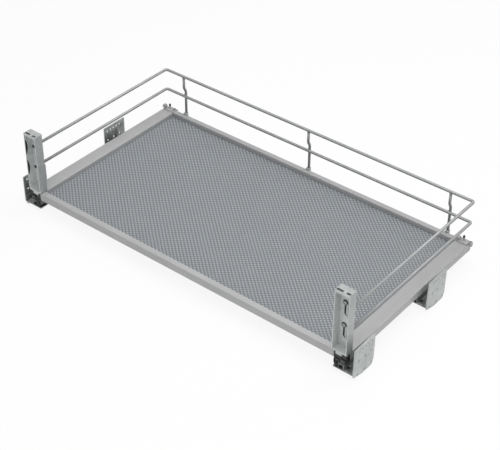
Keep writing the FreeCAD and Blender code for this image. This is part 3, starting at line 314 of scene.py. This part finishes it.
def add_piece(name, mesh, node, replaced=(), look=None):
    """Put a finished mesh in the scene on the body of a node."""
    item = bpy.data.objects.new(name, mesh)
    bpy.context.scene.collection.objects.link(item)
    item.data.materials.clear()
    item.data.materials.append(LOOKS[look or SLOT_OF[node]])
    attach(item, BODY_OF[node])
    if replaced:
        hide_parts(*replaced)
    return item


def from_bmesh(name, bm, smooth=True):
    mesh = bpy.data.meshes.new(name)
    bm.normal_update()
    bm.to_mesh(mesh)
    bm.free()
    for face in mesh.polygons:
        face.use_smooth = smooth
    return mesh


def finished(name, bm, node, replaced=(), look=None):
    """Turn loose shells into one smooth-shaded piece."""
    bmesh.ops.recalc_face_normals(bm, faces=bm.faces)
    mesh = from_bmesh(name, bm)
    mesh.set_sharp_from_angle(angle=math.radians(35))
    return add_piece(name, mesh, node, replaced, look)


def welded(node):
    """A node's mesh with its shared corners joined."""
    bm = bmesh.new()
    bm.from_mesh(NODES[node].data)
    bmesh.ops.remove_doubles(bm, verts=bm.verts, dist=SAME_POINT)
    return bm


def round_edges(item, width):
    """Round the sharp edges of a piece a little."""
    mod = item.modifiers.new("edges", "BEVEL")
    mod.width = width
    mod.segments = 2
    mod.limit_method = "ANGLE"
    mod.angle_limit = math.radians(30)
    mod.harden_normals = True


def softened(node, width, look=None):
    """A copy of a node with rounded edges, in place of the node."""
    bm = welded(node)
    bmesh.ops.dissolve_limit(bm, angle_limit=math.radians(0.4), verts=bm.verts, edges=bm.edges)
    name = node + "_soft"
    round_edges(add_piece(name, from_bmesh(name, bm), node, (node,), look), width)


def smoothed(node):
    """A copy of a node with rounded walls shaded smooth, in place of the node."""
    name = node + "_smooth"
    mesh = from_bmesh(name, welded(node))
    mesh.set_sharp_from_angle(angle=math.radians(50))
    add_piece(name, mesh, node, (node,))


def lathe(bm, profile, centre, axis, sides=32, cross=(), depth=0.0):
    """Turn a profile of (radius, height) points about an axis; the rings in cross sink along a driver's cross."""
    turn = Vector(UP).rotation_difference(Vector(axis)).to_matrix().to_4x4()
    place = Matrix.Translation(centre) @ turn
    quarter = sides // 4
    rings = []
    for number, (radius, height) in enumerate(profile):
        if radius == 0:
            rings.append([bm.verts.new(place @ Vector((0, 0, height)))])
            continue
        ring = []
        for i in range(sides):
            in_arm = i % quarter in (0, 1, quarter - 1)
            drop = depth if number in cross and in_arm else 0.0
            angle = 2 * math.pi * i / sides
            spot = Vector((radius * math.cos(angle), radius * math.sin(angle), height - drop))
            ring.append(bm.verts.new(place @ spot))
        rings.append(ring)
    for low, high in zip(rings, rings[1:]):
        for i in range(sides):
            j = (i + 1) % sides
            if len(high) == 1:
                bm.faces.new((low[i], low[j], high[0]))
            elif len(low) == 1:
                bm.faces.new((low[0], high[j], high[i]))
            else:
                bm.faces.new((low[i], low[j], high[j], high[i]))


def rod(bm, radius, length, centre, axis, sides):
    lathe(bm, [(0.0, 0.0), (radius, 0.0), (radius, length), (0.0, length)], centre, axis, sides)


def screw_head(bm, centre, axis, radius, height):
    """A domed screw head with a cross recess, its flat side at the centre given."""
    recess = 0.45 * height
    profile = [(0.0, 0.0), (radius, 0.0), (radius, 0.45 * height), (0.93 * radius, 0.72 * height),
               (0.78 * radius, 0.9 * height), (0.6 * radius, 0.97 * height), (0.48 * radius, height),
               (0.16 * radius, height), (0.0, recess)]
    lathe(bm, profile, centre, axis, cross=(6, 7), depth=recess)


def prism(bm, outline, low, high, side):
    """An upright block between two levels, over an outline given for the right side."""
    under = [bm.verts.new((side * x, y, low)) for x, y in outline]
    over = [bm.verts.new((side * x, y, high)) for x, y in outline]
    bm.faces.new(under)
    bm.faces.new(over)
    for i in range(len(outline)):
        j = (i + 1) % len(outline)
        bm.faces.new((under[i], under[j], over[j], over[i]))


def solid_boxes(node):
    """The boxes of a node's separate solids."""
    bm = welded(node)
    unseen = set(bm.verts)
    boxes = []
    while unseen:
        stack = [unseen.pop()]
        found = []
        while stack:
            vert = stack.pop()
            found.append(vert.co.copy())
            for edge in vert.link_edges:
                other = edge.other_vert(vert)
                if other in unseen:
                    unseen.remove(other)
                    stack.append(other)
        low = Vector([min(spot[k] for spot in found) for k in range(3)])
        high = Vector([max(spot[k] for spot in found) for k in range(3)])
        boxes.append((low, high))
    bm.free()
    return sorted(boxes, key=lambda pair: tuple(round(v, 5) for v in pair[0]))


def face_centre(low, high, axis, end):
    """The centre of a box's face across an axis, on its low or high side."""
    spot = (low + high) / 2
    spot[axis] = (low, high)[end][axis]
    return spot


# The pieces

def bead(bm, x, y, ground, low, high):
    """A round bead, cut off where it passes the edge of the mat."""
    rings = []
    for wide, tall in BEAD_RINGS:
        ring = []
        for i in range(BEAD_SIDES):
            turn = 2 * math.pi * i / BEAD_SIDES
            at_x = min(max(x + wide * BEAD_RADIUS * math.cos(turn), low[0]), high[0])
            at_y = min(max(y + wide * BEAD_RADIUS * math.sin(turn), low[1]), high[1])
            ring.append(bm.verts.new((at_x, at_y, ground + tall * BEAD_RISE)))
        rings.append(ring)
    top = bm.verts.new((x, y, ground + BEAD_RISE))
    sides = [(i, (i + 1) % BEAD_SIDES) for i in range(BEAD_SIDES)]
    for near, far in zip(rings, rings[1:]):
        for i, j in sides:
            bm.faces.new((near[i], near[j], far[j], far[i]))
    for i, j in sides:
        bm.faces.new((rings[-1][i], rings[-1][j], top))


def beaded_mat():
    """The mat's sheet with its beads, in place of the plain mat."""
    low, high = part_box("anti_slip_mat")
    ground = high[2] - BEAD_RISE
    bm = bmesh.new()
    corners = [(low[0], low[1]), (high[0], low[1]), (high[0], high[1]), (low[0], high[1])]
    under = [bm.verts.new((x, y, low[2])) for x, y in corners]
    over = [bm.verts.new((x, y, ground)) for x, y in corners]
    bm.faces.new(under[::-1])
    bm.faces.new(over)
    for i in range(4):
        j = (i + 1) % 4
        bm.faces.new((under[i], under[j], over[j], over[i]))
    sheet_faces = len(bm.faces)
    middle_x, middle_y = (low[0] + high[0]) / 2, (low[1] + high[1]) / 2
    columns = int((high[0] - low[0]) / BEAD_PITCH_X) + 2
    rows = int((high[1] - low[1]) / BEAD_PITCH_Y) + 2
    for offset in (0.0, 0.5):
        for i in range(-columns // 2, columns // 2 + 1):
            for j in range(-rows // 2, rows // 2 + 1):
                x = middle_x + (i + offset) * BEAD_PITCH_X
                y = middle_y + (j + offset) * BEAD_PITCH_Y
                room_x = min(x - low[0], high[0] - x)
                room_y = min(y - low[1], high[1] - y)
                if min(room_x, room_y) >= BEAD_CUT and max(room_x, room_y) >= BEAD_RADIUS:
                    bead(bm, x, y, ground, low, high)
    item = add_piece("beaded_mat", from_bmesh("beaded_mat", bm), "anti_slip_mat", ("anti_slip_mat",))
    for face in item.data.polygons[:sheet_faces]:
        face.use_smooth = False


def painted_light_inside(node):
    """Paint the sheet of a post brighter inside the channel and along its cut front edges; this is painted light, a
    paler copy of the post's zinc.
    """
    item = bpy.data.objects[node + "_soft"]
    low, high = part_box(node)
    edge = 0.8 * POST_SHEET
    item.data.materials.append(LOOKS["post_painted_light"])
    for face in item.data.polygons:
        spot = face.center
        inside = all(low[k] + edge < spot[k] < high[k] - edge for k in range(3))
        painted_light_edge = face.normal.y < -0.9 and spot.y < low[1] + edge and spot.z < high[2] - LIP_DEPTH
        if inside or painted_light_edge:
            face.material_index = 1


def slot_screws():
    """Pan heads on dark washers, in the slots of the posts."""
    heads = bmesh.new()
    washers = bmesh.new()
    for low, high in solid_boxes("slot_screws"):
        radius = (high.x - low.x) / 2
        seat = face_centre(low, high, 1, 0) + Vector((0, SCREW_RISE, 0))
        screw_head(heads, seat, FORWARD, SCREW_RADIUS, SCREW_RISE)
        back = seat + Vector((0, WASHER_THICKNESS, 0))
        washer = [(0.0, 0.0), (radius, 0.0), (radius, 0.7 * WASHER_THICKNESS),
                  (0.94 * radius, WASHER_THICKNESS), (0.0, WASHER_THICKNESS)]
        lathe(washers, washer, back, FORWARD, sides=40)
        shank = high.y - back.y
        rod(washers, SHANK_RADIUS, shank, back + Vector((0, shank, 0)), FORWARD, sides=16)
    finished("slot_screw_heads", heads, "slot_screws", ("slot_screws",))
    finished("slot_washers", washers, "slot_screws", ("slot_screws",), "black_plastic")


def slot_fillers():
    """The black slider stands forward into each slot, almost flush with the sheet."""
    bm = bmesh.new()
    for low, high in solid_boxes("slot_sliders"):
        side = RIGHT if low.x > 0 else LEFT
        edge = min(abs(low.x), abs(high.x)) + SLIDER_MARGIN
        near = side * (edge + SLOT_PLAY)
        far = side * (edge + SLOT_WIDTH - SLOT_PLAY)
        foot = side * SLOT_FOOT
        top = high.z - SLIDER_MARGIN - SLOT_PLAY
        bend = low.z + SLIDER_MARGIN + SLOT_FOOT
        end = bend - SLOT_FOOT + SLOT_PLAY
        outline = [(near, top), (far, top), (far, bend), (far + foot, end), (near + foot, end), (near, bend)]
        front = low.y - POST_SHEET + FILLER_SINK
        fore, rear = ([bm.verts.new((x, y, z)) for x, z in outline] for y in (front, low.y))
        bm.faces.new(fore)
        bm.faces.new(rear[::-1])
        for i in range(len(outline)):
            j = (i + 1) % len(outline)
            bm.faces.new((fore[i], rear[i], rear[j], fore[j]))
    finished("slot_fillers", bm, "slot_sliders")


def small_screws():
    """Screws that hold the rails to the posts, and the screws on the rear caps."""
    rail_heads = bmesh.new()
    for low, high in solid_boxes("rail_screws"):
        radius = (high.x - low.x) / 2
        seat = face_centre(low, high, 1, 0) + Vector((0, HEAD_DEPTH, 0))
        screw_head(rail_heads, seat, FORWARD, radius, HEAD_DEPTH)
        shank = high.y - low.y - HEAD_DEPTH
        rod(rail_heads, SHANK_RADIUS, shank, face_centre(low, high, 1, 1), FORWARD, sides=16)
    finished("rail_screw_heads", rail_heads, "rail_screws", ("rail_screws",), "dark_steel")
    cap_heads = bmesh.new()
    for low, high in solid_boxes("cap_screws"):
        screw_head(cap_heads, face_centre(low, high, 2, 0), UP, (high.x - low.x) / 2, high.z - low.z)
    # The cap screw heads take the zinc darkened with painted shade.
    finished("cap_screw_heads", cap_heads, "cap_screws", ("cap_screws",), "zinc_painted_shade")


def catch_pins():
    """Pale pegs on the rear caps with a black rounded tip."""
    pegs = bmesh.new()
    tips = bmesh.new()
    for low, high in solid_boxes("catch_pins"):
        radius = (high.x - low.x) / 2
        tall = high.z - low.z
        base = face_centre(low, high, 2, 0)
        peg = [(0.0, 0.0), (radius, 0.0), (radius, 0.1 * tall), (0.86 * radius, 0.16 * tall),
               (0.8 * radius, 0.55 * tall), (0.0, 0.55 * tall)]
        tip = [(0.0, 0.5 * tall), (0.7 * radius, 0.5 * tall), (0.98 * radius, 0.52 * tall), (radius, 0.62 * tall),
               (radius, 0.8 * tall), (0.82 * radius, 0.93 * tall), (0.5 * radius, 0.985 * tall), (0.0, tall)]
        lathe(pegs, peg, base, UP, sides=28)
        lathe(tips, tip, base, UP, sides=28)
    finished("catch_pegs", pegs, "catch_pins", ("catch_pins",), "grey_cap")
    finished("catch_tips", tips, "catch_pins", ("catch_pins",))


def weld_beads():
    """Small fillets of weld, painted over, where the struts meet the rails."""
    rail_low, rail_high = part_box("lower_rail")
    top_low, top_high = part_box("top_rail")
    rail_y = top_high[1] - (top_high[2] - top_low[2]) / 2
    level = (rail_low[2] + rail_high[2]) / 2
    for node in ("left_strut", "middle_strut", "right_strut"):
        low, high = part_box(node)
        x = (low[0] + high[0]) / 2
        half = (high[0] - low[0]) / 2
        bm = bmesh.new()
        collar = [(0.0, 0.0), (half + 0.9 * MM, 0.0), (half + 0.8 * MM, 0.6 * MM), (half + 0.35 * MM, 1.2 * MM),
                  (half - 0.1 * MM, 1.9 * MM), (0.0, 1.9 * MM)]
        lathe(bm, collar, Vector((x, rail_y, top_low[2] + 1.3 * MM)), DOWN, sides=28)
        for side in (LEFT, RIGHT):
            centre = Vector((x + side * half * 0.75, rail_high[1] - 0.1 * MM, level))
            blob = bmesh.ops.create_uvsphere(bm, u_segments=12, v_segments=8, radius=1.0)
            for vert in blob["verts"]:
                wave = 1 + 0.12 * math.sin(9 * vert.co.z + 2 * side)
                size = Vector((1.5 * MM * wave, 0.9 * MM, 2.6 * MM))
                vert.co = centre + vert.co * size
        finished(node + "_welds", bm, node)


def rear_cap(word, side):
    """A plastic corner with seams, a lug at its left and a round screw boss at its right."""
    node = "rear_cap_" + word
    low, high = (Vector(corner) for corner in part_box(node))
    beam = [Vector(corner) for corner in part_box(word + "_beam")]
    top = beam[1].z
    outer = max(abs(beam[0].x), abs(beam[1].x))
    inner = min(abs(low.x), abs(high.x))
    round_x, round_y = outer - CAP_ROUND, high.y - CAP_ROUND

    def on_corner(x):
        """A point of the rounded corner at a distance from the middle."""
        return x, round_y + CAP_ROUND * math.sin(math.acos((x - round_x) / CAP_ROUND))

    corner = [(round_x + CAP_ROUND * math.cos(turn), round_y + CAP_ROUND * math.sin(turn))
              for turn in (math.pi / 2 * k / 12 for k in range(13))]
    inside = outer - CAP_WALL - CAP_SEAM / 2
    outside = outer - CAP_WALL + CAP_SEAM / 2
    bm = bmesh.new()
    core = [(inner, low.y + CAP_SEAM), (inside, low.y + CAP_SEAM), on_corner(inside)]
    core += [point for point in corner if point[0] < inside - CAP_GAP] + [(inner, high.y)]
    prism(bm, core, low.z, top, side)
    strip = [(outside, low.y), (outer, low.y)]
    strip += [point for point in corner if point[0] > outside + CAP_GAP] + [on_corner(outside)]
    prism(bm, strip, low.z, top, side)
    bed = [(inner + CAP_SEAM, low.y), (outer - CAP_SEAM, low.y), (outer - CAP_SEAM, round_y),
           (round_x, high.y - CAP_SEAM), (inner + CAP_SEAM, high.y - CAP_SEAM)]
    prism(bm, bed, low.z + CAP_SEAM, top - SEAM_DEPTH, side)
    if side == LEFT:
        lug_near, lug_far = outer + LUG_REACH - LUG_WIDTH, outer + LUG_REACH
        boss_x = -(inner + BOSS_INSET)
    else:
        lug_near, lug_far = inner, inner + LUG_WIDTH
        boss_x = outer
    lug_front = low.y + LUG_SETBACK
    lug_back = lug_front + LUG_LENGTH
    lug = [(lug_near, lug_front), (lug_far, lug_front), (lug_far, lug_back), (lug_near, lug_back)]
    prism(bm, lug, top - LUG_SINK, high.z, side)
    boss_foot = Vector((boss_x, low.y + BOSS_SETBACK, top - BOSS_DROP))
    rod(bm, BOSS_RADIUS, BOSS_DROP + BOSS_HEIGHT, boss_foot, UP, sides=40)
    bmesh.ops.recalc_face_normals(bm, faces=bm.faces)
    name = node + "_body"
    round_edges(add_piece(name, from_bmesh(name, bm), node, (node,)), CAP_EDGE)


beaded_mat()
for width, node_names in EDGE_WIDTHS:
    for node_name in node_names:
        # The arms take the zinc darkened with painted shade.
        softened(node_name, width * MM, "zinc_painted_shade" if node_name.endswith("_arm") else None)
for post_name in ("left_post", "right_post"):
    painted_light_inside(post_name)
for node_name in ROUND_NODES:
    smoothed(node_name)
slot_screws()
slot_fillers()
small_screws()
catch_pins()
weld_beads()
for word, side in SIDES:
    rear_cap(word, side)


# Camera, floor and light

CAMERA_PLACE = (1.3385, -1.6673, 1.6305)
CAMERA_AZIMUTH = 38.52
CAMERA_ELEVATION = 36.95
CAMERA_ROLL = 0.55
SENSOR_WIDTH = 36.0
PHOTO_WIDTH = 500.0
FOCAL_LENGTH = 1278.2  # in pixels of the photo
NEAREST, FARTHEST = 0.05, 60.0
FLOOR_REACH = 9.0
FLOOR_DROP = 0.6 * MM
FLOOR_GLOW = 0.9
SOFT_LIGHT = 0.28
# Name, place, target, width and height in metres, power in watts
LIGHTS = (
    ("overhead", (0.25, 0.1, 2.5), (0, 0, 0), 2.4, 2.0, 48.0),
    ("rear_key", (1.25, 1.9, 1.9), (0, 0, 0), 0.35, 0.35, 8.0),
    ("near_right", (1.35, -0.15, 0.5), (0.4, 0, 0.1), 0.9, 0.35, 1.0),
    ("front_low", (0.35, -1.6, 0.5), (0.2, -0.2, 0.1), 1.4, 0.5, 2.8),
)


def place_camera():
    data = bpy.data.cameras.new("camera")
    item = bpy.data.objects.new("camera", data)
    bpy.context.scene.collection.objects.link(item)
    azimuth, elevation, roll = (math.radians(angle) for angle in (CAMERA_AZIMUTH, CAMERA_ELEVATION, CAMERA_ROLL))
    ahead = Vector((-math.sin(azimuth) * math.cos(elevation), math.cos(azimuth) * math.cos(elevation),
                    -math.sin(elevation)))
    right = Vector((math.cos(azimuth), math.sin(azimuth), 0))
    up = right.cross(ahead)
    turned_right = math.cos(roll) * right + math.sin(roll) * up
    turned_up = math.cos(roll) * up - math.sin(roll) * right
    turn = Matrix((turned_right, turned_up, -ahead)).transposed().to_4x4()
    item.matrix_world = Matrix.Translation(CAMERA_PLACE) @ turn
    data.sensor_width = SENSOR_WIDTH
    data.lens = SENSOR_WIDTH * FOCAL_LENGTH / PHOTO_WIDTH
    data.clip_start, data.clip_end = NEAREST, FARTHEST
    bpy.context.scene.camera = item


def seen_or_mirrored(tree):
    """One for rays from the camera and for mirrored rays, zero for the rays that light things."""
    path = tree.nodes.new("ShaderNodeLightPath")
    either = tree.nodes.new("ShaderNodeMath")
    either.operation = "MAXIMUM"
    tree.links.new(path.outputs["Is Camera Ray"], either.inputs[0])
    tree.links.new(path.outputs["Is Glossy Ray"], either.inputs[1])
    return either.outputs["Value"]


def blended(tree, share, first, second, out):
    """A mix of two shaders, led to the output."""
    blend = tree.nodes.new("ShaderNodeMixShader")
    tree.links.new(share, blend.inputs["Fac"])
    tree.links.new(first, blend.inputs[1])
    tree.links.new(second, blend.inputs[2])
    tree.links.new(blend.outputs["Shader"], out.inputs["Surface"])


def floor():
    """White paper, which the camera sees nearly pure white."""
    bm = bmesh.new()
    corners = ((-1, -1), (1, -1), (1, 1), (-1, 1))
    bm.faces.new([bm.verts.new((x * FLOOR_REACH, y * FLOOR_REACH, -FLOOR_DROP)) for x, y in corners])
    item = bpy.data.objects.new("floor", from_bmesh("floor", bm, smooth=False))
    bpy.context.scene.collection.objects.link(item)
    mat, tree, shader = new_material("floor_paper")
    shader.inputs["Roughness"].default_value = 0.9
    fibres = noise(tree, coordinates(tree), 300.0, 4.0)
    tree.links.new(tint(tree, fibres, (0.93, 0.93, 0.93), (0.95, 0.95, 0.95)), shader.inputs["Base Color"])
    glow = tree.nodes.new("ShaderNodeEmission")
    glow.inputs["Strength"].default_value = 1.0
    share = tree.nodes.new("ShaderNodeMath")
    share.operation = "MULTIPLY"
    share.inputs[1].default_value = FLOOR_GLOW
    tree.links.new(seen_or_mirrored(tree), share.inputs[0])
    blended(tree, share.outputs["Value"], shader.outputs["BSDF"], glow.outputs["Emission"],
            tree.nodes["Material Output"])
    item.data.materials.append(mat)


def world_light():
    """Soft light from all sides, with a white background."""
    world = bpy.data.worlds.new("studio")
    bpy.context.scene.world = world
    world.use_nodes = True
    tree = world.node_tree
    tree.nodes.clear()
    grounds = []
    for strength in (SOFT_LIGHT, 1.0):
        ground = tree.nodes.new("ShaderNodeBackground")
        ground.inputs["Color"].default_value = (1, 1, 1, 1)
        ground.inputs["Strength"].default_value = strength
        grounds.append(ground.outputs["Background"])
    blended(tree, seen_or_mirrored(tree), *grounds, tree.nodes.new("ShaderNodeOutputWorld"))


def area_light(name, place, target, wide, tall, power):
    data = bpy.data.lights.new(name, "AREA")
    data.shape = "RECTANGLE"
    data.size, data.size_y = wide, tall
    data.energy = power
    item = bpy.data.objects.new(name, data)
    item.location = place
    item.rotation_euler = (Vector(target) - Vector(place)).to_track_quat("-Z", "Y").to_euler()
    bpy.context.scene.collection.objects.link(item)


place_camera()
floor()
world_light()
for light in LIGHTS:
    area_light(*light)

bpy.context.scene.view_settings.view_transform = "Standard"
